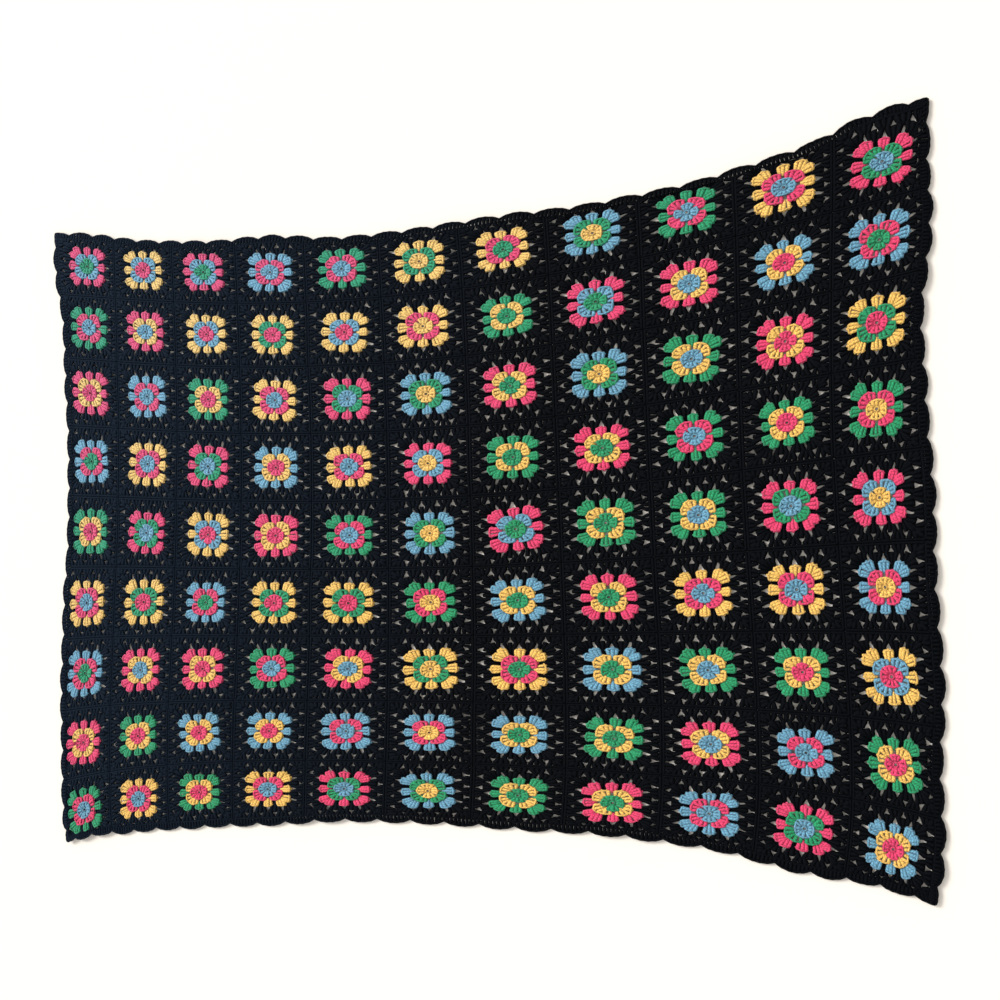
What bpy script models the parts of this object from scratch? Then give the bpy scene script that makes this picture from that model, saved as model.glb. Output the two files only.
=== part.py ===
"""A crocheted granny square blanket, lying on a flat surface.

The blanket has two made parts: the panel, which is the whole field of squares joined edge to edge,
and the shell edging, the scalloped border that is worked round it afterwards. It lies as soft
crochet does: pulled out at the corners, drawn in at the waist, and nowhere quite straight.
Metres, +Z up, the long side along X, the underside on z = 0.
"""

import math
from collections import namedtuple

import bmesh
import bpy
from mathutils import Vector

# Driving dimensions
COLUMNS = 11
ROWS = 9
THICKNESS = 0.004  # a double crochet fabric in medium yarn
GAP = 0.0004  # between the panel and the edging
EDGING_BASE = 0.005  # the edging's width at a dip between two shells
SHELL_HEIGHT = 0.006  # how far a shell stands out past the dips
SHELLS_LONG = 28  # shells on a long side, counted corner to corner
SHELLS_SHORT = 22
STEPS_PER_SHELL = 6
SHELL_ROUNDNESS = 0.7  # below 1 the shells are rounder and the dips sharper

# How the field of squares lies. Each bend moves a point by metres * s**along * t**across, where s
# runs from -1 to 1 over the columns and t from -1 to 1 over the rows.
Bend = namedtuple("Bend", "metres along across")
BENDS_X = (
    Bend(0.763, 1, 0),  # half the length of the field
    Bend(-0.063, 3, 0),  # squares lie shorter towards both ends
    Bend(0.021, 2, 0),  # and longer in the right half than in the left
    Bend(-0.020, 4, 0),
    Bend(-0.013, 0, 2),  # columns bow to the right
    Bend(0.008, 2, 1),  # the upper corners are pulled to the right
    Bend(0.016, 2, 2),
    Bend(0.037, 1, 2),  # rows are fuller halfway out than along the middle
    Bend(-0.030, 1, 4),
    Bend(-0.035, 1, 1),  # columns lean, and straighten again at the ends
    Bend(0.031, 3, 1),
    Bend(0.023, 1, 3),
)
BENDS_Y = (
    Bend(0.478, 0, 1),  # half the width of the field
    Bend(-0.028, 0, 3),  # squares lie shorter towards both long sides
    Bend(0.077, 2, 1),  # the waist is narrower than the ends
    Bend(0.044, 2, 0),  # rows sag between the ends
    Bend(-0.017, 4, 0),
    Bend(0.023, 0, 2),
    Bend(-0.031, 2, 2),
    Bend(-0.011, 1, 1),  # rows close up towards the right
    Bend(-0.016, 0, 0),
)

# How far the panel reaches past the centres of its outer squares, in squares, one value for each
# square of that side. Half a square is 0.5; the edging draws most of the rim in to less.
REACH_TOP = (0.47, 0.41, 0.42, 0.52, 0.42, 0.43, 0.44, 0.35, 0.32, 0.37, 0.62)
REACH_BOTTOM = (0.33, 0.45, 0.52, 0.55, 0.48, 0.48, 0.49, 0.43, 0.43, 0.52, 0.40)
REACH_LEFT = (0.36, 0.35, 0.39, 0.38, 0.36, 0.37, 0.39, 0.41, 0.54)
REACH_RIGHT = (0.54, 0.47, 0.55, 0.54, 0.58, 0.51, 0.43, 0.49, 0.40)
RIM_START = 0.34  # the drawn-in part of an outer square starts this far from its centre

# Low soft swells where the cloth does not quite touch the surface
SWELL_HEIGHT = 0.006
SWELL_THRESHOLD = 0.45
SWELL_LENGTH = 0.47
SWELL_WIDTH = 0.38

# The middle of the outline's box, in the lay's own coordinates, which becomes the origin
MIDDLE_X = 0.0026
MIDDLE_Y = 0.0133

BLACK_YARN = (0.010, 0.013, 0.022, 1.0)


def bent(bends, s, t):
    """Add up the bends at one point of the field."""
    return sum(bend.metres * s**bend.along * t**bend.across for bend in bends)


def between(values, place):
    """Read a list of values, one per square, smoothly at any place along the side."""
    place = min(max(place, 0.0), len(values) - 1.0)
    low = min(int(place), len(values) - 2)
    part = place - low
    part = part * part * (3.0 - 2.0 * part)
    return values[low] * (1.0 - part) + values[low + 1] * part


def drawn_in(offset, outer_centre, reach):
    """Squeeze the rim of the outer squares so that it ends at its reach."""
    rim = abs(offset) - outer_centre - RIM_START
    if rim <= 0.0:
        return offset
    squeeze = (reach - RIM_START) / (0.5 - RIM_START)
    return math.copysign(outer_centre + RIM_START + rim * squeeze, offset)


def lay(u, v):
    """Place a point of the field, given in squares from its middle square, on the surface."""
    last_column = (COLUMNS - 1) / 2
    last_row = (ROWS - 1) / 2
    reach_u = between(REACH_RIGHT if u > 0 else REACH_LEFT, v + last_row)
    reach_v = between(REACH_TOP if v > 0 else REACH_BOTTOM, u + last_column)
    s = drawn_in(u, last_column, reach_u) / (COLUMNS / 2)
    t = drawn_in(v, last_row, reach_v) / (ROWS / 2)
    x = bent(BENDS_X, s, t) - MIDDLE_X
    y = bent(BENDS_Y, s, t) - MIDDLE_Y
    return Vector((x, y, swell(x, y)))


def swell(x, y):
    """Height of the underside over the surface: zero over most of the blanket."""
    wave = math.sin(2 * math.pi * x / SWELL_LENGTH + 0.9) * math.sin(2 * math.pi * y / SWELL_WIDTH + 0.4)
    return SWELL_HEIGHT * max(0.0, wave - SWELL_THRESHOLD)


def thicken(mesh, bm):
    """Turn an open sheet that faces up into a closed solid by extruding it straight up."""
    made = bmesh.ops.extrude_face_region(bm, geom=bm.faces[:])
    raised = [item for item in made["geom"] if isinstance(item, bmesh.types.BMVert)]
    bmesh.ops.translate(bm, vec=(0, 0, THICKNESS), verts=raised)
    bmesh.ops.recalc_face_normals(bm, faces=bm.faces[:])
    bm.to_mesh(mesh)
    bm.free()


def yarn_material(name, roughness):
    """Matt black yarn."""
    material = bpy.data.materials.new(name)
    material.use_nodes = True
    shader = material.node_tree.nodes["Principled BSDF"]
    shader.inputs["Base Color"].default_value = BLACK_YARN
    shader.inputs["Roughness"].default_value = roughness
    shader.inputs["Metallic"].default_value = 0.0
    return material


def add_object(name, mesh, roughness, collection):
    """Put a finished mesh in the blanket's collection, with a material of its own."""
    mesh.materials.append(yarn_material(name, roughness))
    made = bpy.data.objects.new(name, mesh)
    collection.objects.link(made)
    return made


def make_panel(collection):
    """The field of squares: a grid with a cell for each shell of the rim, laid and thickened."""
    bm = bmesh.new()
    bmesh.ops.create_grid(bm, x_segments=SHELLS_LONG, y_segments=SHELLS_SHORT, size=0.5)
    for vertex in bm.verts:
        vertex.co = lay(vertex.co.x * COLUMNS, vertex.co.y * ROWS)
    mesh = bpy.data.meshes.new("panel")
    thicken(mesh, bm)
    return add_object("panel", mesh, 0.9, collection)


def rim_corners():
    """The panel's rim, anticlockwise from its lower left corner, one point per cell."""
    half_u = COLUMNS / 2
    half_v = ROWS / 2
    along = [-half_u + COLUMNS * i / SHELLS_LONG for i in range(SHELLS_LONG)]
    up = [-half_v + ROWS * i / SHELLS_SHORT for i in range(SHELLS_SHORT)]
    rim = [(u, -half_v) for u in along] + [(half_u, v) for v in up]
    rim += [(-u, half_v) for u in along] + [(-half_u, -v) for v in up]
    return [lay(u, v) for u, v in rim]


def outward(start, end):
    """The outward normal of one stretch of an anticlockwise rim."""
    run = end - start
    return Vector((run.y, -run.x, 0.0)).normalized()


def edging_loops():
    """The edging's inner and outer outlines, step by step round the rim."""
    rim = rim_corners()
    count = len(rim)
    normals = [outward(rim[i], rim[(i + 1) % count]) for i in range(count)]
    mitres = []
    for i in range(count):
        middle = (normals[i - 1] + normals[i]).normalized()
        mitres.append(middle / middle.dot(normals[i]))
    inner = []
    outer = []
    for i in range(count):
        for step in range(STEPS_PER_SHELL):
            part = step / STEPS_PER_SHELL
            on_rim = rim[i].lerp(rim[(i + 1) % count], part)
            clear = mitres[i] if step == 0 else normals[i]
            fan = mitres[i].lerp(mitres[(i + 1) % count], part).normalized()
            shell = abs(math.cos(math.pi * part)) ** SHELL_ROUNDNESS
            inner.append(on_rim + GAP * clear)
            outer.append(on_rim + (GAP + EDGING_BASE + SHELL_HEIGHT * shell) * fan)
    return inner, outer


def make_edging(collection):
    """The shell edging: a ring of cells round the rim, widened into shells, then thickened."""
    inner, outer = edging_loops()
    bm = bmesh.new()
    ring = bmesh.ops.create_circle(bm, cap_ends=False, radius=1.0, segments=len(inner))["verts"]
    for vertex, place in zip(ring, inner):
        vertex.co = place
    bmesh.ops.extrude_edge_only(bm, edges=bm.edges[:])
    widen(ring, outer)
    mesh = bpy.data.meshes.new("shell_edging")
    thicken(mesh, bm)
    return add_object("shell_edging", mesh, 0.92, collection)


def widen(ring, outer):
    """Move each extruded vertex from the inner outline to its place on the outer one."""
    inside = set(ring)
    for vertex, place in zip(ring, outer):
        for edge in vertex.link_edges:
            grown = edge.other_vert(vertex)
            if grown not in inside:
                grown.co = place


def main():
    """Build the blanket in a collection of its own."""
    for old in list(bpy.data.objects):
        bpy.data.objects.remove(old, do_unlink=True)
    collection = bpy.data.collections.new("granny_square_blanket")
    bpy.context.scene.collection.children.link(collection)
    make_panel(collection)
    make_edging(collection)


main()
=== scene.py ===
"""Crocheted granny square blanket, laid flat: every stitch of its squares and of its shell edging."""

import math
from collections import namedtuple

import bpy
import numpy as np
from mathutils import Matrix, Vector


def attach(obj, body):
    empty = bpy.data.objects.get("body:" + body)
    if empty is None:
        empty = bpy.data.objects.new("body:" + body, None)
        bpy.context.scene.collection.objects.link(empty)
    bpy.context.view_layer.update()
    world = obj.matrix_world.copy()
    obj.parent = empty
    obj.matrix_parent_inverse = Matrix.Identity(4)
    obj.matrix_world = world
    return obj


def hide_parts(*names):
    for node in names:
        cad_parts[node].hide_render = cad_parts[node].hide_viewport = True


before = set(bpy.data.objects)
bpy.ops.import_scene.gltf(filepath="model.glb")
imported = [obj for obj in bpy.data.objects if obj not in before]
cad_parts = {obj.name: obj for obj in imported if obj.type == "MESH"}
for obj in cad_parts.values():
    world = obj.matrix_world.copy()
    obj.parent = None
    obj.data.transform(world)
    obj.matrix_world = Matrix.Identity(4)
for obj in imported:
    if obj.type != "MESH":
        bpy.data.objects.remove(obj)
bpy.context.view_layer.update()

bl_info = {
    "name": "Granny Square Blanket",
    "version": (1, 0, 0),
    "blender": (4, 5, 0),
    "location": "View3D > Sidebar > Blanket",
    "description": "Crochets a granny square blanket and lays it out",
    "category": "Object",
}

BODY = "root"

# The field of squares

COLUMNS = 11
ROWS = 9
SQUARE = 0.12  # a relaxed square, seam to seam

# The yarn colours of each square, one letter a round from its centre: P pink, Y yellow, G green,
# B blue. Rounds four and five are black on every square. Top row first.
CHART = (
    "GBP PBY GBP BPB BPG YGY GPY YGB BPG BPY BGP",
    "BPG BYP PBY PGY PBY YPY GYG GBP BYP PYB GPB",
    "PYP BPB PYG BPY BGP YGB GYP YGB BYG PYP PGY",
    "GPB BPY BGP PYB BPY YBP GYG GYP BPG PYG YPG",
    "PYG BGP PBY PYP BPG YGB GBP GYG BYG BGP YBP",
    "BPY PGY GPB PGY PGY YPG GYB GYP BPY BPY YPB",
    "GPB BYP PYP BPG BYP YGY GPY GYB BYG PYG PBY",
    "PYP PYG PYB PYB BPB YPB GYB GYG BYP BPB PYG",
    "BPG BPY PYG BPY BGP YGB GYG GYP BPB BGP PYB",
)
YARNS = "PYGBK"
YARN_NAMES = ("pink", "yellow", "green", "blue", "black")
BLACK = YARNS.index("K")
COLOURED_ROUNDS = 3

# How the field lies. Each bend moves a point by metres * s**along * t**across, where s runs from
# -1 to 1 over the columns and t from -1 to 1 over the rows.
Bend = namedtuple("Bend", "metres along across")
BENDS_X = (
    Bend(0.763, 1, 0),  # half the length of the field
    Bend(-0.063, 3, 0),  # squares lie shorter towards both ends
    Bend(0.021, 2, 0),  # and longer in the right half than in the left
    Bend(-0.020, 4, 0),
    Bend(-0.013, 0, 2),  # columns bow to the right
    Bend(0.008, 2, 1),  # the upper corners are pulled to the right
    Bend(0.016, 2, 2),
    Bend(0.037, 1, 2),  # rows are fuller halfway out than along the middle
    Bend(-0.030, 1, 4),
    Bend(-0.035, 1, 1),  # columns lean, and straighten again at the ends
    Bend(0.031, 3, 1),
    Bend(0.023, 1, 3),
)
BENDS_Y = (
    Bend(0.478, 0, 1),  # half the width of the field
    Bend(-0.028, 0, 3),  # squares lie shorter towards both long sides
    Bend(0.077, 2, 1),  # the waist is narrower than the ends
    Bend(0.044, 2, 0),  # rows sag between the ends
    Bend(-0.017, 4, 0),
    Bend(0.023, 0, 2),
    Bend(-0.031, 2, 2),
    Bend(-0.011, 1, 1),  # rows close up towards the right
    Bend(-0.016, 0, 0),
)

# How far the panel reaches past the centres of its outer squares, in squares, one value for each
# square of that side: the edging draws most of the rim in to less than half a square.
REACH_TOP = (0.47, 0.41, 0.42, 0.52, 0.42, 0.43, 0.44, 0.35, 0.32, 0.37, 0.62)
REACH_BOTTOM = (0.33, 0.45, 0.52, 0.55, 0.48, 0.48, 0.49, 0.43, 0.43, 0.52, 0.40)
REACH_LEFT = (0.36, 0.35, 0.39, 0.38, 0.36, 0.37, 0.39, 0.41, 0.54)
REACH_RIGHT = (0.54, 0.47, 0.55, 0.54, 0.58, 0.51, 0.43, 0.49, 0.40)
RIM_START = 0.34  # the drawn-in part of an outer square starts this far from its centre

# Low soft swells where the cloth does not quite touch the surface
SWELL_HEIGHT = 0.006
SWELL_THRESHOLD = 0.45
SWELL_LENGTH = 0.47
SWELL_WIDTH = 0.38
SWELL_START = (0.9, 0.4)  # where the swells' waves start along and across, in radians
LOWEST = 0.0002  # no strand dips lower than this into the surface under the cloth

MIDDLE = (0.0026, 0.0133)  # the middle of the outline's box, in the lay's own coordinates

# The edging
GAP = 0.0004  # between the panel and the edging
EDGING_BASE = 0.005  # the edging's width at a dip between two shells
SHELL_HEIGHT = 0.006  # how far a shell stands out past the dips
SHELL_ROUNDNESS = 0.7  # below 1 the shells are rounder and the dips sharper
SHELLS_LONG = 28
SHELLS_SHORT = 22
STITCHES_PER_SHELL = 9
EDGING_WIDTHS = np.array([0.0024, 0.0026, 0.0032, 0.0030])
EDGING_FOOT = 0.0015  # how far inside the rim the edging's stitches start
EDGING_HEAD = 0.0026  # and how far short of its outline they end
EDGING_UNEVENNESS = 0.0002
SCALLOP_INSET = 0.0018  # the last chain runs this far inside the outline
SCALLOP_HEIGHT = 0.0029
SCALLOP_STATIONS = 11
EDGING_SEED = 7

# One round of a square, in squares. foot and head: how far from the centre its clusters stand at
# their feet and at their heads. spacing: from cluster to cluster along a side. corner_foot: where
# its corner clusters start on the diagonal. corner_head: where they end, along and away.
# spread: how far a cluster's outer posts stand from its middle one, from feet to heads.
# round_off: how much shorter the outer posts are. fan: how far a corner cluster turns its heads
# square to its own lean.
Round = namedtuple("Round", "foot head spacing corner_foot corner_head spread round_off fan")
ROUNDS = (
    Round(0.028, 0.118, 0.000, 0.000, (0.000, 0.000), (0.014, 0.030, 0.044, 0.053, 0.052), 0.014, 0.0),
    Round(0.110, 0.204, 0.180, 0.066, (0.098, 0.193), (0.020, 0.038, 0.048, 0.049, 0.042), 0.012, 0.6),
    Round(0.150, 0.301, 0.182, 0.144, (0.191, 0.294), (0.023, 0.035, 0.041, 0.042, 0.035), 0.012, 0.6),
    Round(0.178, 0.382, 0.186, 0.238, (0.286, 0.380), (0.032, 0.042, 0.062, 0.062), -0.010, 0.4),
    Round(0.370, 0.474, 0.190, 0.368, (0.388, 0.472), (0.034, 0.040, 0.062, 0.064), 0.000, 0.5),
)
# Lengths here are in squares
CORNER_FOOT_SHIFT = (-0.009, 0.007)  # where a corner cluster's foot stands beside the diagonal
CORNER_TIGHTNESS = 0.90  # width of the corner clusters of round three against the others
UNEVENNESS = (0.0034, 0.0036, 0.0036, 0.0016, 0.0014)  # how far posts stray in each round
HEAD_UNEVENNESS = 1.4  # how much further a cluster's head strays than its posts
LOOP_OVERHANG = 0.30  # how far a head loop reaches past its outer posts, in widths of its cluster
RING = 0.025  # radius of the centre ring
EDGE_CHAIN = 0.4835  # where the chain along the joined sides runs
CHAIN_OVERRUN = 0.013  # how far that chain runs on past the corners

# Lengths from here on are in metres
DOME = 0.0006  # how much higher the middle post of a coloured cluster lies than its outer ones
HEIGHT_UNEVENNESS = 0.00015
HEAD_LOOP = np.array([0.0008, 0.0016, 0.0018, 0.0016, 0.0008])
HEAD_LOOP_LIFT = np.array([-0.0004, 0.0012, 0.0016, 0.0012, -0.0004])
HEAD_LOOP_FLATNESS = 0.9
RING_WIDTH, RING_DEPTH, RING_HEIGHT = 0.0013, 0.0012, 0.0030
RING_STATIONS = 11
CHAIN_HEIGHT = 0.0030
CHAIN_STATIONS = 25

# Shares by which squares and clusters differ from each other
CLUSTER_UNEVENNESS = 0.05  # in width
FULLNESS_UNEVENNESS = 0.07  # in thickness of the strands
GLARE_END_FULLNESS = 0.10  # how much fuller the black strands are at the left end, where the yarn colours carry painted glare
OUTER_FULLNESS = 0.07  # and in the outer squares
TURN_UNEVENNESS = 0.04
SLACK = 0.03  # how much a square's inner rounds stretch
GLARE_END_SLACK = 0.05  # more at the left end, the end with painted glare
OUTER_SLACK = 0.04  # and in the outer squares
SLACK_UNEVENNESS = 0.025
SQUARE_SEED = 1000

# One post from foot to head: how far along each station stands, as a share of the cluster's length,
# its half width and half depth there, and how high it lies, in metres.
Post = namedtuple("Post", "at width depth height")
COLOURED_POST = Post(
    np.array([0.0, 0.30, 0.62, 0.88, 1.02]),
    np.array([0.0017, 0.0026, 0.0029, 0.0027, 0.0016]),
    np.array([0.0009, 0.0016, 0.0020, 0.0019, 0.0009]),
    np.array([0.0017, 0.0026, 0.0031, 0.0030, 0.0021]),
)
INNER_BLACK_POST = Post(
    np.array([0.0, 0.62, 0.88, 1.02]),
    np.array([0.0022, 0.0031, 0.0038, 0.0035]),
    np.array([0.0009, 0.0013, 0.0018, 0.0010]),
    np.array([0.0012, 0.0023, 0.0030, 0.0027]),
)
OUTER_BLACK_POST = Post(
    np.array([0.0, 0.22, 0.70, 1.02]),
    np.array([0.0022, 0.0028, 0.0038, 0.0026]),
    np.array([0.0013, 0.0016, 0.0018, 0.0010]),
    np.array([0.0028, 0.0030, 0.0031, 0.0027]),
)
POSTS = (COLOURED_POST, COLOURED_POST, COLOURED_POST, INNER_BLACK_POST, OUTER_BLACK_POST)


def bent(bends, s, t):
    """Add up the bends at many points of the field."""
    return sum(bend.metres * s**bend.along * t**bend.across for bend in bends)


def between(values, place):
    """Read a list of values, one per square, smoothly at many places along the side."""
    place = np.clip(place, 0.0, len(values) - 1.0)
    low = np.minimum(place.astype(int), len(values) - 2)
    part = place - low
    part = part * part * (3.0 - 2.0 * part)
    table = np.asarray(values)
    return table[low] * (1.0 - part) + table[low + 1] * part


def drawn_in(offset, outer_centre, reach):
    """Squeeze the rim of the outer squares so that it ends at its reach."""
    rim = np.abs(offset) - outer_centre - RIM_START
    squeeze = (reach - RIM_START) / (0.5 - RIM_START)
    inside = outer_centre + RIM_START + rim * squeeze
    return np.where(rim <= 0.0, offset, np.copysign(inside, offset))


def swell(x, y):
    """Height of the underside over the surface: zero over most of the blanket."""
    along = np.sin(2 * np.pi * x / SWELL_LENGTH + SWELL_START[0])
    across = np.sin(2 * np.pi * y / SWELL_WIDTH + SWELL_START[1])
    return SWELL_HEIGHT * np.maximum(0.0, along * across - SWELL_THRESHOLD)


def lay(points):
    """Lay relaxed points, in squares and metres of height, out on the surface."""
    u, v, height = points[..., 0], points[..., 1], points[..., 2]
    last_column = (COLUMNS - 1) / 2
    last_row = (ROWS - 1) / 2
    reach_u = np.where(u > 0, between(REACH_RIGHT, v + last_row), between(REACH_LEFT, v + last_row))
    reach_v = np.where(v > 0, between(REACH_TOP, u + last_column), between(REACH_BOTTOM, u + last_column))
    s = drawn_in(u, last_column, reach_u) / (COLUMNS / 2)
    t = drawn_in(v, last_row, reach_v) / (ROWS / 2)
    x = bent(BENDS_X, s, t) - MIDDLE[0]
    y = bent(BENDS_Y, s, t) - MIDDLE[1]
    return np.stack([x, y, swell(x, y) + np.maximum(height, LOWEST)], axis=-1)


# Strands: one modelled stitch, copied along many paths


def strand_template(name, sides, rings):
    """Model one plain strand as a hand would, and read back its rings, faces and wrapping."""
    bpy.ops.object.select_all(action="DESELECT")
    bpy.ops.mesh.primitive_circle_add(vertices=sides, radius=1.0, fill_type="NGON")
    made = bpy.context.object
    made.name = name
    bpy.ops.object.mode_set(mode="EDIT")
    bpy.ops.mesh.select_all(action="SELECT")
    for _ in range(rings - 1):
        bpy.ops.mesh.extrude_region_move(TRANSFORM_OT_translate={"value": (0.0, 0.0, 1.0)})
    bpy.ops.mesh.select_all(action="SELECT")
    bpy.ops.mesh.normals_make_consistent(inside=False)
    bpy.ops.object.mode_set(mode="OBJECT")
    mesh = made.data
    points = np.empty(len(mesh.vertices) * 3, np.float32)
    mesh.vertices.foreach_get("co", points)
    points = points.reshape(-1, 3)
    faces = [list(face.vertices) for face in mesh.polygons]
    bpy.data.objects.remove(made, do_unlink=True)
    bpy.data.meshes.remove(mesh)
    ring = np.rint(points[:, 2]).astype(int)
    around = np.arctan2(points[:, 1], points[:, 0]) / (2 * np.pi) % 1.0
    wrap = []
    for face in faces:
        turn = around[face]
        wrap.append(np.where(turn.max() - turn > 0.5, turn + 1.0, turn))
    return {
        "across": points[:, 0],
        "over": points[:, 1],
        "ring": ring,
        "faces": faces,
        "wrap": np.concatenate(wrap),
        "corners": np.concatenate(faces),
    }


class Strands:
    """Collects strands of several yarns, to be joined into one mesh."""

    def __init__(self):
        self.points = []
        self.faces = []
        self.wraps = []
        self.yarns = []
        self.count = 0

    def add(self, template, paths, widths, depths, sideways, yarn):
        """Copy the template along paths of shape (n, rings, 3), in relaxed squares and metres.

        widths and depths are half sizes in metres, one for each ring or for each ring of each path.
        sideways is the unit direction across each ring, of shape (n, rings, 2).
        """
        n = len(paths)
        ring = template["ring"]
        widths = np.broadcast_to(widths, paths.shape[:2])[:, ring]
        depths = np.broadcast_to(depths, paths.shape[:2])[:, ring]
        points = paths[:, ring].copy()
        points[..., :2] += sideways[:, ring] * (widths * template["across"] / SQUARE)[..., None]
        points[..., 2] += depths * template["over"]
        steps = np.diff(paths * np.array([SQUARE, SQUARE, 1.0]), axis=1)
        length = np.cumsum(np.linalg.norm(steps, axis=2), axis=1)
        length = np.concatenate([np.zeros((n, 1)), length], axis=1)
        corners = template["corners"]
        along = length[:, ring[corners]]
        around = np.broadcast_to(template["wrap"], along.shape)
        self.points.append(points.reshape(-1, 3))
        self.wraps.append(np.stack([along, around], axis=-1).reshape(-1, 2))
        for i in range(n):
            start = self.count + i * len(ring)
            self.faces.extend([[start + corner for corner in face] for face in template["faces"]])
        self.yarns.append(np.full(n * len(template["faces"]), yarn))
        self.count += n * len(ring)

    def join(self, name, materials, place=lay):
        """Join everything into one object, laid in place."""
        mesh = bpy.data.meshes.new(name)
        points = place(np.concatenate(self.points))
        mesh.from_pydata(points.astype(np.float32), [], self.faces)
        layer = mesh.uv_layers.new(name="strand")
        layer.uv.foreach_set("vector", np.concatenate(self.wraps).astype(np.float32).ravel())
        for material in materials:
            mesh.materials.append(material)
        mesh.polygons.foreach_set("material_index", np.concatenate(self.yarns).astype(np.int32))
        mesh.polygons.foreach_set("use_smooth", np.ones(len(mesh.polygons), dtype=bool))
        mesh.update()
        made = bpy.data.objects.new(name, mesh)
        bpy.context.scene.collection.objects.link(made)
        return made


# One granny square


def side_clusters(number):
    """Foot, head and spreading direction of each cluster on the upper side of one round."""
    this = ROUNDS[number]
    below = ROUNDS[max(number - 1, 0)]
    found = []
    for place in range(number + 1):
        step = place - number / 2
        if number and place in (0, number):
            side = math.copysign(1.0, step)
            foot = (side * (this.corner_foot + CORNER_FOOT_SHIFT[0]), this.corner_foot + CORNER_FOOT_SHIFT[1])
            head = (side * this.corner_head[0], this.corner_head[1])
            lean = Vector((head[0] - foot[0], head[1] - foot[1])).normalized()
            along = Vector((1.0, 0.0)).lerp(Vector((lean.y, -lean.x)), this.fan).normalized()
        else:
            foot = (step * below.spacing, this.foot)
            head = (step * this.spacing, this.head)
            along = Vector((1.0, 0.0))
        found.append((foot, head, tuple(along)))
    return found


def turned_quarter(point, quarter):
    """Turn a point of the upper side to one of the four sides."""
    x, y = point
    for _ in range(quarter):
        x, y = -y, x
    return x, y


def round_clusters(number):
    """Feet, heads and spreading directions of all clusters of one round, as three arrays."""
    found = [
        [turned_quarter(point, quarter) for point in cluster]
        for quarter in range(4)
        for cluster in side_clusters(number)
    ]
    return np.array(found).transpose(1, 0, 2)


def round_posts(number, rng):
    """Paths of all posts of one round, of shape (clusters, 3, stations, 3)."""
    this = ROUNDS[number]
    post = POSTS[number]
    feet, heads, along = round_clusters(number)
    heads = heads + rng.normal(0.0, UNEVENNESS[number] * HEAD_UNEVENNESS, heads.shape)
    run = heads - feet
    length = np.linalg.norm(run, axis=1)[:, None, None]
    which = np.array([-1.0, 0.0, 1.0])
    place = np.tile(np.arange(number + 1), 4)
    tight = np.where((place == 0) | (place == number), CORNER_TIGHTNESS if number == 2 else 1.0, 1.0)
    share = post.at * (1.0 - np.abs(which)[:, None] * post.at * this.round_off / length)
    wide = tight[:, None, None] * (1.0 + rng.normal(0.0, CLUSTER_UNEVENNESS, (len(feet), 1, 1)))
    aside = which[:, None] * np.array(this.spread) * wide
    paths = np.empty((len(feet), 3, len(post.at), 3))
    paths[..., :2] = feet[:, None, None] + run[:, None, None] * share[..., None]
    paths[..., :2] += along[:, None, None] * aside[..., None]
    paths[..., :2] += rng.normal(0.0, UNEVENNESS[number], (len(feet), 3, 1, 2)) * post.at[:, None]
    paths[..., 2] = post.height + rng.normal(0.0, HEIGHT_UNEVENNESS, (len(feet), 3, 1))
    if number < COLOURED_ROUNDS:
        paths[..., 2] += DOME * (0.5 - np.abs(which))[:, None]
    return paths


def beside(paths):
    """Unit directions across many paths, to their left and level, so that faces point outwards."""
    ahead = np.gradient(paths[..., :2], axis=-2)
    ahead /= np.linalg.norm(ahead, axis=-1, keepdims=True)
    return np.stack([-ahead[..., 1], ahead[..., 0]], axis=-1)


def slackened(paths, turn, share):
    """Turn and stretch a square's inner rounds a little: less and less towards its rim."""
    x, y = paths[..., 0], paths[..., 1]
    hold = np.clip(1.0 - (2.0 * np.maximum(np.abs(x), np.abs(y))) ** 4, 0.0, 1.0)
    full = 1.0 + share * hold
    return np.stack([(x - turn * y * hold) * full, (y + turn * x * hold) * full, paths[..., 2]], axis=-1)


def head_loops(paths):
    """The looped tops that lie across the three posts of each cluster."""
    first, middle, last = paths[:, 0, -2], paths[:, 1, -2], paths[:, 2, -2]
    side = (last - first) * LOOP_OVERHANG
    loops = np.stack([first - side, first, middle, last, last + side], axis=1)
    inward = (paths[:, 1, -1] - paths[:, 1, -2])[:, None, :2]
    loops[:, (0, 4), :2] -= inward
    loops[..., 2] += HEAD_LOOP_LIFT
    return loops


def side_chains():
    """Four straight chains along the sides of a square, as paths."""
    end = EDGE_CHAIN + CHAIN_OVERRUN
    at = np.linspace(-end, end, CHAIN_STATIONS)
    sides = [[turned_quarter((x, EDGE_CHAIN), quarter) for x in at] for quarter in range(4)]
    paths = np.empty((4, CHAIN_STATIONS, 3))
    paths[..., :2] = np.array(sides)
    paths[..., 2] = CHAIN_HEIGHT
    return paths


def beads(rings, full, narrow):
    """Half sizes along a chain: full in the middle of each stitch and narrow between them."""
    return np.where(np.arange(rings) % 2, full, narrow)


def centre_ring():
    """The small ring of chain in the middle of a square, as a path whose end overlaps its start."""
    angle = np.linspace(0.0, 2 * np.pi * RING_STATIONS / (RING_STATIONS - 1), RING_STATIONS)
    height = np.full(RING_STATIONS, RING_HEIGHT)
    return np.stack([np.cos(angle) * RING, np.sin(angle) * RING, height], axis=-1)[None]


def square_middle(column, row):
    """Where a square's centre lies in the field, in squares."""
    return np.array([column - (COLUMNS - 1) / 2, (ROWS - 1) / 2 - row, 0.0])


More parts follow.
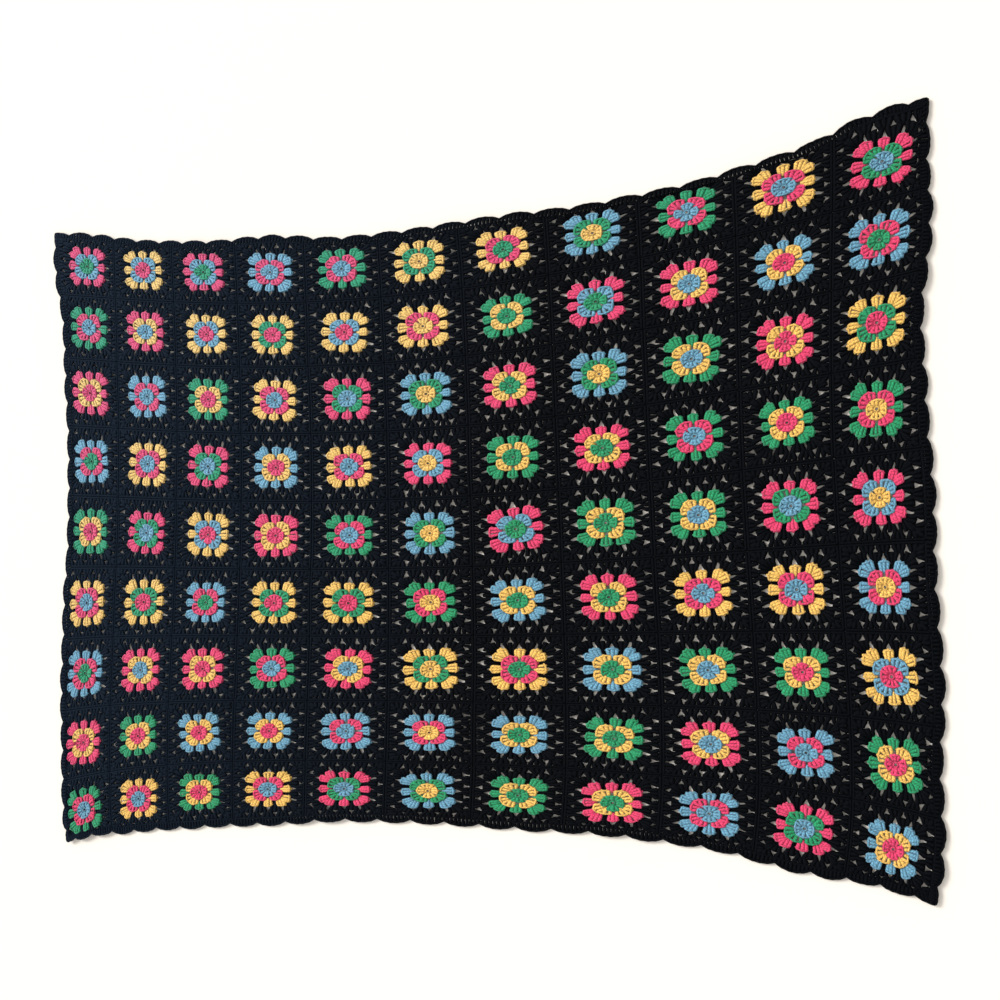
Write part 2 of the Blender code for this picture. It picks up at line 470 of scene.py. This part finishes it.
def add_square(strands, templates, column, row, letters):
    """Crochet one square into its place in the field."""
    rng = np.random.default_rng(SQUARE_SEED + row * COLUMNS + column)
    offset = square_middle(column, row)
    # how far the square lies towards the left end, where the yarn colours carry painted glare
    glare_end = np.clip(-offset[0] / (COLUMNS / 2), 0.0, 1.0)
    outermost = column in (0, COLUMNS - 1) or row in (0, ROWS - 1)
    turn = rng.normal(0.0, TURN_UNEVENNESS)
    share = SLACK + GLARE_END_SLACK * glare_end + OUTER_SLACK * outermost + rng.normal(0.0, SLACK_UNEVENNESS)
    yarns = [YARNS.index(letter) for letter in letters] + [BLACK, BLACK]

    def crochet(template, paths, widths, depths, yarn):
        """Add strands of one kind, slackened and in the square's place."""
        paths = slackened(paths, turn, share)
        strands.add(templates[template], paths + offset, widths, depths, beside(paths), yarn)

    for number, yarn in enumerate(yarns):
        post = POSTS[number]
        paths = round_posts(number, rng)
        flat = paths.reshape(-1, len(post.at), 3)
        full = 1.0 + rng.normal(0.0, FULLNESS_UNEVENNESS, (len(flat), 1))
        if yarn == BLACK:
            full = full + (GLARE_END_FULLNESS * glare_end + OUTER_FULLNESS * outermost)
            crochet("black post", flat, post.width * full, post.depth * full, yarn)
        else:
            crochet("post", flat, post.width * full, post.depth * full, yarn)
            crochet("head", head_loops(paths), HEAD_LOOP, HEAD_LOOP * HEAD_LOOP_FLATNESS, yarn)
    crochet("ring", centre_ring(), RING_WIDTH, RING_DEPTH, yarns[0])


# Yarn

PLY_ROUNDNESS = 0.6  # below 1 the plies are rounder and the grooves between them narrower
FIBRE_SCALE, FIBRE_DETAIL = 900.0, 3.0
SPECKLE_SCALE, SPECKLE_DETAIL = 420.0, 1.0
SPECKLE_NOISE = (0.3, 0.7)  # the part of the noise that counts
# painted flecks: random lighter and darker spots, standing in for highlights and shade on the yarn's loops
SPECKLE_HIGHLIGHT_AND_SHADE = (0.72, 1.25)
TOP_OF_STRAND = (0.0, 0.9)  # from a strand's flanks, and all below them, to its top
# painted shade: strands are darker down their flanks and underneath than on their tops
PAINTED_FLANK_SHADE = (0.45, 1.0)
PAINTED_GROOVE_SHADE = (0.62, 1.15)  # painted shade in the grooves between the plies, and painted highlight on their ridges
GLARE_SPAN = (-0.10, 0.85)  # where the painted glare starts and ends, metres from the middle
SHEEN_ROUGHNESS = 0.5
BUMP_STRENGTH = 0.6
BUMP_DISTANCE = 0.0006

# tilt: how much the painted glare on the yarn runs across the blanket against along it
Finish = namedtuple("Finish", "tilt sheen specular")
COLOURED_FINISH = Finish(1.2, 0.15, 0.25)
BLACK_FINISH = Finish(0.2, 0.0, 0.05)


def math_node(tree, operation, *values):
    """The result of a math node whose inputs are linked to sockets or set to numbers."""
    node = tree.nodes.new("ShaderNodeMath")
    node.operation = operation
    for socket, value in zip(node.inputs, values):
        if isinstance(value, bpy.types.NodeSocket):
            tree.links.new(value, socket)
        else:
            socket.default_value = value
    return node.outputs[0]


def ranged(tree, value, before, after):
    """A value carried over from one range to another, and held within it."""
    node = tree.nodes.new("ShaderNodeMapRange")
    tree.links.new(value, node.inputs["Value"])
    node.inputs["From Min"].default_value, node.inputs["From Max"].default_value = before
    node.inputs["To Min"].default_value, node.inputs["To Max"].default_value = after
    return node.outputs["Result"]


def noise(tree, place, scale, detail):
    """Noise over the blanket at one scale."""
    node = tree.nodes.new("ShaderNodeTexNoise")
    node.inputs["Scale"].default_value = scale
    node.inputs["Detail"].default_value = detail
    tree.links.new(place, node.inputs["Vector"])
    return node.outputs["Fac"]


def parted(tree, vector):
    """The X and Y of a vector."""
    node = tree.nodes.new("ShaderNodeSeparateXYZ")
    tree.links.new(vector, node.inputs[0])
    return node.outputs["X"], node.outputs["Y"]


def colour_mix(tree, blend_type):
    """A node that mixes two colours."""
    node = tree.nodes.new("ShaderNodeMix")
    node.data_type = "RGBA"
    node.blend_type = blend_type
    return node


def yarn_group():
    """Plied yarn: a two-ply twist along each strand with fine loose fibres, painted shade and highlight, and
    painted glare by place.
    """
    group = bpy.data.node_groups.new("plied yarn", "ShaderNodeTree")
    new_socket = group.interface.new_socket
    for name in ("Colour", "Glare Colour"):
        new_socket(name=name, in_out="INPUT", socket_type="NodeSocketColor")
    for name, value in (("Glare Tilt", 1.2), ("Ply Length", 0.0042), ("Fibre", 0.35)):
        new_socket(name=name, in_out="INPUT", socket_type="NodeSocketFloat").default_value = value
    new_socket(name="Colour", in_out="OUTPUT", socket_type="NodeSocketColor")
    new_socket(name="Height", in_out="OUTPUT", socket_type="NodeSocketFloat")
    nodes, links = group.nodes, group.links
    start = nodes.new("NodeGroupInput").outputs
    end = nodes.new("NodeGroupOutput").inputs
    strand = nodes.new("ShaderNodeUVMap")
    strand.uv_map = "strand"
    along, around = parted(group, strand.outputs["UV"])
    place = nodes.new("ShaderNodeTexCoord").outputs["Object"]

    turns = math_node(group, "DIVIDE", along, start["Ply Length"])
    twist = math_node(group, "MULTIPLY_ADD", around, 2.0, turns)
    wave = math_node(group, "PINGPONG", twist, 0.5)
    ply = math_node(group, "MULTIPLY", wave, 2.0)
    rounded = math_node(group, "POWER", ply, PLY_ROUNDNESS)
    fibres = noise(group, place, FIBRE_SCALE, FIBRE_DETAIL)
    links.new(math_node(group, "MULTIPLY_ADD", fibres, start["Fibre"], rounded), end["Height"])

    # painted shade down the strands' flanks and underneath, lighter on their tops
    top = math_node(group, "SINE", math_node(group, "MULTIPLY", around, 2 * math.pi))
    painted_flank_shade = ranged(group, top, TOP_OF_STRAND, PAINTED_FLANK_SHADE)
    # painted shade in the grooves between the plies, painted highlight on their ridges
    painted_groove_shade = ranged(group, rounded, (0.0, 1.0), PAINTED_GROOVE_SHADE)
    # painted flecks of highlight and shade, scattered at random over the yarn
    painted_speckle = ranged(group, noise(group, place, SPECKLE_SCALE, SPECKLE_DETAIL), SPECKLE_NOISE, SPECKLE_HIGHLIGHT_AND_SHADE)
    shade = math_node(group, "MULTIPLY", math_node(group, "MULTIPLY", painted_flank_shade, painted_groove_shade), painted_speckle)

    # painted glare: the colours turn paler towards the upper left, standing in for light from that side
    x, y = parted(group, place)
    toward_glare = math_node(group, "SUBTRACT", math_node(group, "MULTIPLY", y, start["Glare Tilt"]), x)
    with_glare = colour_mix(group, "MIX")
    links.new(ranged(group, toward_glare, GLARE_SPAN, (0.0, 1.0)), with_glare.inputs["Factor"])
    links.new(start["Colour"], with_glare.inputs["A"])
    links.new(start["Glare Colour"], with_glare.inputs["B"])
    tint = colour_mix(group, "MULTIPLY")
    tint.inputs["Factor"].default_value = 1.0
    links.new(with_glare.outputs["Result"], tint.inputs["A"])
    links.new(shade, tint.inputs["B"])
    links.new(tint.outputs["Result"], end["Colour"])
    return group


def yarn_material(name, colour, glare_end, finish):
    """One colour of the blanket's yarn, with its colour under painted glare and its finish."""
    material = bpy.data.materials.get(name)
    if material:
        return material
    yarns = bpy.context.scene.blanket_yarns
    material = bpy.data.materials.new(name)
    material.use_nodes = True
    nodes, links = material.node_tree.nodes, material.node_tree.links
    shader = nodes["Principled BSDF"]
    shader.inputs["Roughness"].default_value = yarns.roughness
    shader.inputs["Sheen Weight"].default_value = finish.sheen
    shader.inputs["Sheen Roughness"].default_value = SHEEN_ROUGHNESS
    shader.inputs["Specular IOR Level"].default_value = finish.specular
    plied = nodes.new("ShaderNodeGroup")
    plied.node_tree = bpy.data.node_groups.get("plied yarn") or yarn_group()
    plied.inputs["Colour"].default_value = (*colour, 1.0)
    plied.inputs["Glare Colour"].default_value = (*glare_end, 1.0)
    plied.inputs["Glare Tilt"].default_value = finish.tilt
    plied.inputs["Ply Length"].default_value = yarns.ply_length
    bump = nodes.new("ShaderNodeBump")
    bump.inputs["Strength"].default_value = BUMP_STRENGTH
    bump.inputs["Distance"].default_value = BUMP_DISTANCE
    links.new(plied.outputs["Colour"], shader.inputs["Base Color"])
    links.new(plied.outputs["Height"], bump.inputs["Height"])
    links.new(bump.outputs["Normal"], shader.inputs["Normal"])
    return material


def all_yarns():
    """The five yarns, in the order of YARNS."""
    yarns = bpy.context.scene.blanket_yarns
    made = []
    for name in YARN_NAMES:
        # each yarn's own colour, and its colour with painted glare for the upper left end
        colour, glare_end = getattr(yarns, name), getattr(yarns, f"{name}_faded")
        finish = BLACK_FINISH if name == "black" else COLOURED_FINISH
        made.append(yarn_material(f"{name}_yarn", colour, glare_end, finish))
    return made


# Settings


def linear(*parts):
    """A colour picker's 0 to 255 values as linear light."""
    shares = [part / 255 for part in parts]
    return tuple(((share + 0.055) / 1.055) ** 2.4 if share > 0.04 else share / 12.92 for share in shares)


def yarn_colour(label, value):
    """A colour property for one yarn."""
    return bpy.props.FloatVectorProperty(
        name=label,
        description=f"Base colour of the {label.lower()} yarn",
        subtype="COLOR",
        size=3,
        min=0.0,
        max=1.0,
        default=value,
    )


class BlanketYarns(bpy.types.PropertyGroup):
    """Colours and finish of the yarn."""

    # each yarn in two colours: its own, and with painted glare for the upper left end
    pink: yarn_colour("Pink", linear(210, 57, 98))
    pink_faded: yarn_colour("Glare-end pink", linear(203, 76, 118))
    yellow: yarn_colour("Yellow", linear(220, 175, 88))
    yellow_faded: yarn_colour("Glare-end yellow", linear(217, 184, 116))
    green: yarn_colour("Green", linear(28, 134, 86))
    green_faded: yarn_colour("Glare-end green", linear(40, 140, 108))
    blue: yarn_colour("Blue", linear(96, 145, 168))
    blue_faded: yarn_colour("Glare-end blue", linear(104, 154, 180))
    black: yarn_colour("Black", (0.0015, 0.0021, 0.0034))
    black_faded: yarn_colour("Glare-end black", (0.0062, 0.0132, 0.0250))
    roughness: bpy.props.FloatProperty(
        name="Roughness", description="How matt the yarn is", default=0.8, min=0.0, max=1.0, subtype="FACTOR"
    )
    ply_length: bpy.props.FloatProperty(
        name="Ply Length",
        description="Length of one full turn of the yarn's plies",
        default=0.0042,
        min=0.001,
        precision=4,
        unit="LENGTH",
    )


class BlanketStage(bpy.types.PropertyGroup):
    """Camera, light and floor."""

    lens: bpy.props.FloatProperty(
        name="Lens",
        description="Focal length of the camera",
        default=39.6,
        min=10.0,
        max=200.0,
        subtype="DISTANCE_CAMERA",
    )
    light: bpy.props.FloatProperty(
        name="Soft Light", description="Strength of the soft light from one side", default=3.6, min=0.0
    )
    floor: bpy.props.FloatVectorProperty(
        name="Floor",
        description="Colour of the floor",
        subtype="COLOR",
        size=3,
        min=0.0,
        max=1.0,
        default=(0.74, 0.69, 0.62),
    )


# Operators


class BLANKET_OT_joins(bpy.types.Operator):
    """Crochet the chains along the sides of the squares, where they are joined"""

    bl_idname = "blanket.joins"
    bl_label = "Crochet Joins"

    def execute(self, context):
        template = strand_template("chain", 4, CHAIN_STATIONS)
        chains = side_chains()
        across = beside(chains)
        width = beads(CHAIN_STATIONS, 0.0025, 0.0021)
        depth = beads(CHAIN_STATIONS, 0.0020, 0.0014)
        strands = Strands()
        for row in range(ROWS):
            for column in range(COLUMNS):
                strands.add(template, chains + square_middle(column, row), width, depth, across, 0)
        piece = strands.join("join_stitches", [all_yarns()[BLACK]])
        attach(piece, BODY)
        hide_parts("panel")
        return {"FINISHED"}


class BLANKET_OT_squares(bpy.types.Operator):
    """Crochet the squares, one piece for each row"""

    bl_idname = "blanket.squares"
    bl_label = "Crochet Squares"

    def execute(self, context):
        templates = {
            "post": strand_template("post", 6, len(COLOURED_POST.at)),
            "black post": strand_template("black post", 4, len(INNER_BLACK_POST.at)),
            "head": strand_template("head", 4, len(HEAD_LOOP)),
            "ring": strand_template("ring", 4, RING_STATIONS),
        }
        materials = all_yarns()
        for row in range(ROWS):
            strands = Strands()
            for column, letters in enumerate(CHART[row].split()):
                add_square(strands, templates, column, row, letters)
            piece = strands.join(f"squares_row_{row + 1}", materials)
            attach(piece, BODY)
            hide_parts("panel")
        return {"FINISHED"}


def panel_rim():
    """The squares' laid rim, anticlockwise from the lower left corner, one point for each shell."""
    half_u = COLUMNS / 2
    half_v = ROWS / 2
    along = -half_u + COLUMNS * np.arange(SHELLS_LONG) / SHELLS_LONG
    up = -half_v + ROWS * np.arange(SHELLS_SHORT) / SHELLS_SHORT
    rim = np.concatenate(
        [
            np.stack([along, np.full(SHELLS_LONG, -half_v)], axis=-1),
            np.stack([np.full(SHELLS_SHORT, half_u), up], axis=-1),
            np.stack([-along, np.full(SHELLS_LONG, half_v)], axis=-1),
            np.stack([np.full(SHELLS_SHORT, -half_u), -up], axis=-1),
        ]
    )
    return lay(np.concatenate([rim, np.zeros((len(rim), 1))], axis=-1))


# The rim from the crown of one shell to the crown of the next, for all shells: the points at both
# crowns and the outward directions there.
Rim = namedtuple("Rim", "start end start_fan end_fan")


def shell_rim():
    """The squares' rim, parted at the crowns of the shells."""
    start = panel_rim()
    end = np.roll(start, -1, axis=0)
    run = (end - start)[:, :2]
    normal = np.stack([run[:, 1], -run[:, 0]], axis=-1)
    normal /= np.linalg.norm(normal, axis=1, keepdims=True)
    fan = normal + np.roll(normal, 1, axis=0)
    fan /= np.linalg.norm(fan, axis=1, keepdims=True)
    return Rim(start, end, fan, np.roll(fan, -1, axis=0))


def on_rim(rim, shell, part):
    """Rim point and outward direction at a part of the way from many shells' crowns to the next."""
    part = part[..., None]
    base = rim.start[shell] * (1 - part) + rim.end[shell] * part
    fan = rim.start_fan[shell] * (1 - part) + rim.end_fan[shell] * part
    return base, fan / np.linalg.norm(fan, axis=-1, keepdims=True)


def edging_reach(part):
    """How far the edging reaches past the rim at a part of the way from crown to crown."""
    return GAP + EDGING_BASE + SHELL_HEIGHT * np.abs(np.cos(np.pi * part)) ** SHELL_ROUNDNESS


def add_shell_posts(strands, rim):
    """Crochet the posts of all shells, which stand out from the rim."""
    rng = np.random.default_rng(EDGING_SEED)
    index = np.arange(len(rim.start) * STITCHES_PER_SHELL)
    part = (index % STITCHES_PER_SHELL + 0.5) / STITCHES_PER_SHELL
    base, fan = on_rim(rim, index // STITCHES_PER_SHELL, part)
    post = OUTER_BLACK_POST
    feet = base[:, :2] - EDGING_FOOT * fan
    heads = base[:, :2] + fan * (edging_reach(part) - EDGING_HEAD)[:, None]
    paths = np.empty((len(index), len(post.at), 3))
    paths[..., :2] = feet[:, None] + (heads - feet)[:, None] * post.at[:, None]
    paths[..., 2] = base[:, 2:] + post.height + rng.normal(0.0, EDGING_UNEVENNESS, (len(index), 1))
    paths[..., :2] /= SQUARE
    template = strand_template("edging post", 4, len(post.at))
    strands.add(template, paths, EDGING_WIDTHS, post.depth, beside(paths), 0)


def add_scallop_chain(strands, rim):
    """Crochet the chain along the scalloped outline, crown to crown."""
    shells = (len(rim.start), SCALLOP_STATIONS)
    part = np.broadcast_to(np.linspace(0.0, 1.0, SCALLOP_STATIONS), shells)
    base, fan = on_rim(rim, np.broadcast_to(np.arange(len(rim.start))[:, None], shells), part)
    outline = np.empty((*shells, 3))
    outline[..., :2] = (base[..., :2] + fan * (edging_reach(part) - SCALLOP_INSET)[..., None]) / SQUARE
    outline[..., 2] = base[..., 2] + SCALLOP_HEIGHT
    width = beads(SCALLOP_STATIONS, 0.0021, 0.0016)
    depth = beads(SCALLOP_STATIONS, 0.0019, 0.0014)
    template = strand_template("scallop", 4, SCALLOP_STATIONS)
    strands.add(template, outline, width, depth, beside(outline), 0)


def already_laid(points):
    """Points whose places are laid ones, in squares, brought back to metres."""
    return points * np.array([SQUARE, SQUARE, 1.0])


class BLANKET_OT_edging(bpy.types.Operator):
    """Crochet the shell edging round the joined squares"""

    bl_idname = "blanket.edging"
    bl_label = "Crochet Edging"

    def execute(self, context):
        rim = shell_rim()
        strands = Strands()
        add_shell_posts(strands, rim)
        add_scallop_chain(strands, rim)
        piece = strands.join("shell_stitches", [all_yarns()[BLACK]], already_laid)
        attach(piece, BODY)
        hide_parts("shell_edging")
        return {"FINISHED"}


FLOOR_SIZE = 12.0
FLOOR_HEIGHT = -0.0010  # just under the lowest strands
FLOOR_ROUGHNESS = 0.9
CAMERA_PLACE = (0.688, -0.100, 1.534)
CAMERA_BACK = (0.351, -0.071, 0.934)  # where the camera's back faces
CAMERA_UP = (0.045, 0.997, 0.059)
SENSOR_WIDTH = 36.0
LIGHT_PLACE = (-4.2, 2.4, 3.5)
LIGHT_ANGLE = math.radians(24.0)  # how wide the light looks, which softens its shadows
WHITE = (1.0, 1.0, 1.0, 1.0)
ROOM_LIGHT = 0.90


def camera_turn():
    """The camera's turn, square to its own view."""
    back = Vector(CAMERA_BACK).normalized()
    right = Vector(CAMERA_UP).cross(back).normalized()
    up = back.cross(right)
    return Matrix((right, up, back)).transposed().to_4x4()


class BLANKET_OT_stage(bpy.types.Operator):
    """Set up the floor, the camera and the soft light"""

    bl_idname = "blanket.stage"
    bl_label = "Set Stage"

    def execute(self, context):
        stage = context.scene.blanket_stage
        bpy.ops.object.select_all(action="DESELECT")
        bpy.ops.mesh.primitive_plane_add(size=FLOOR_SIZE, location=(0.0, 0.0, FLOOR_HEIGHT))
        floor = context.object
        floor.name = "floor"
        paint = bpy.data.materials.new("pale floor")
        paint.use_nodes = True
        shader = paint.node_tree.nodes["Principled BSDF"]
        shader.inputs["Base Color"].default_value = (*stage.floor, 1.0)
        shader.inputs["Roughness"].default_value = FLOOR_ROUGHNESS
        floor.data.materials.append(paint)
        camera = bpy.data.objects.new("camera", bpy.data.cameras.new("camera"))
        context.scene.collection.objects.link(camera)
        camera.data.lens = stage.lens
        camera.data.sensor_width = SENSOR_WIDTH
        camera.matrix_world = Matrix.Translation(CAMERA_PLACE) @ camera_turn()
        context.scene.camera = camera
        lamp = bpy.data.objects.new("soft light", bpy.data.lights.new("soft light", "SUN"))
        context.scene.collection.objects.link(lamp)
        lamp.data.energy = stage.light
        lamp.data.angle = LIGHT_ANGLE
        lamp.location = LIGHT_PLACE
        lamp.rotation_euler = lamp.location.to_track_quat("Z", "Y").to_euler()
        world = bpy.data.worlds.new("soft room")
        context.scene.world = world
        world.use_nodes = True
        background = world.node_tree.nodes["Background"]
        background.inputs["Color"].default_value = WHITE
        background.inputs["Strength"].default_value = ROOM_LIGHT
        context.scene.view_settings.view_transform = "Standard"
        return {"FINISHED"}


class BLANKET_PT_panel(bpy.types.Panel):
    """Lists the blanket's making steps"""

    bl_idname = "BLANKET_PT_panel"
    bl_label = "Granny Square Blanket"
    bl_space_type = "VIEW_3D"
    bl_region_type = "UI"
    bl_category = "Blanket"

    def draw(self, context):
        layout = self.layout
        for name in YARN_NAMES:
            layout.prop(context.scene.blanket_yarns, name)
            layout.prop(context.scene.blanket_yarns, f"{name}_faded")
        for name in ("roughness", "ply_length"):
            layout.prop(context.scene.blanket_yarns, name)
        for name in ("lens", "light", "floor"):
            layout.prop(context.scene.blanket_stage, name)
        for step in STEPS:
            layout.operator(step.bl_idname)


STEPS = (BLANKET_OT_joins, BLANKET_OT_squares, BLANKET_OT_edging, BLANKET_OT_stage)
CLASSES = (BlanketYarns, BlanketStage, *STEPS, BLANKET_PT_panel)


def register():
    """Register the classes and their settings."""
    for one in CLASSES:
        bpy.utils.register_class(one)
    bpy.types.Scene.blanket_yarns = bpy.props.PointerProperty(type=BlanketYarns)
    bpy.types.Scene.blanket_stage = bpy.props.PointerProperty(type=BlanketStage)


def unregister():
    """Take everything back out."""
    del bpy.types.Scene.blanket_stage
    del bpy.types.Scene.blanket_yarns
    for one in reversed(CLASSES):
        bpy.utils.unregister_class(one)


def main():
    """Make every piece, in order."""
    register()
    bpy.ops.blanket.stage()
    bpy.ops.blanket.joins()
    bpy.ops.blanket.squares()
    bpy.ops.blanket.edging()


if __name__ == "__main__":
    main()
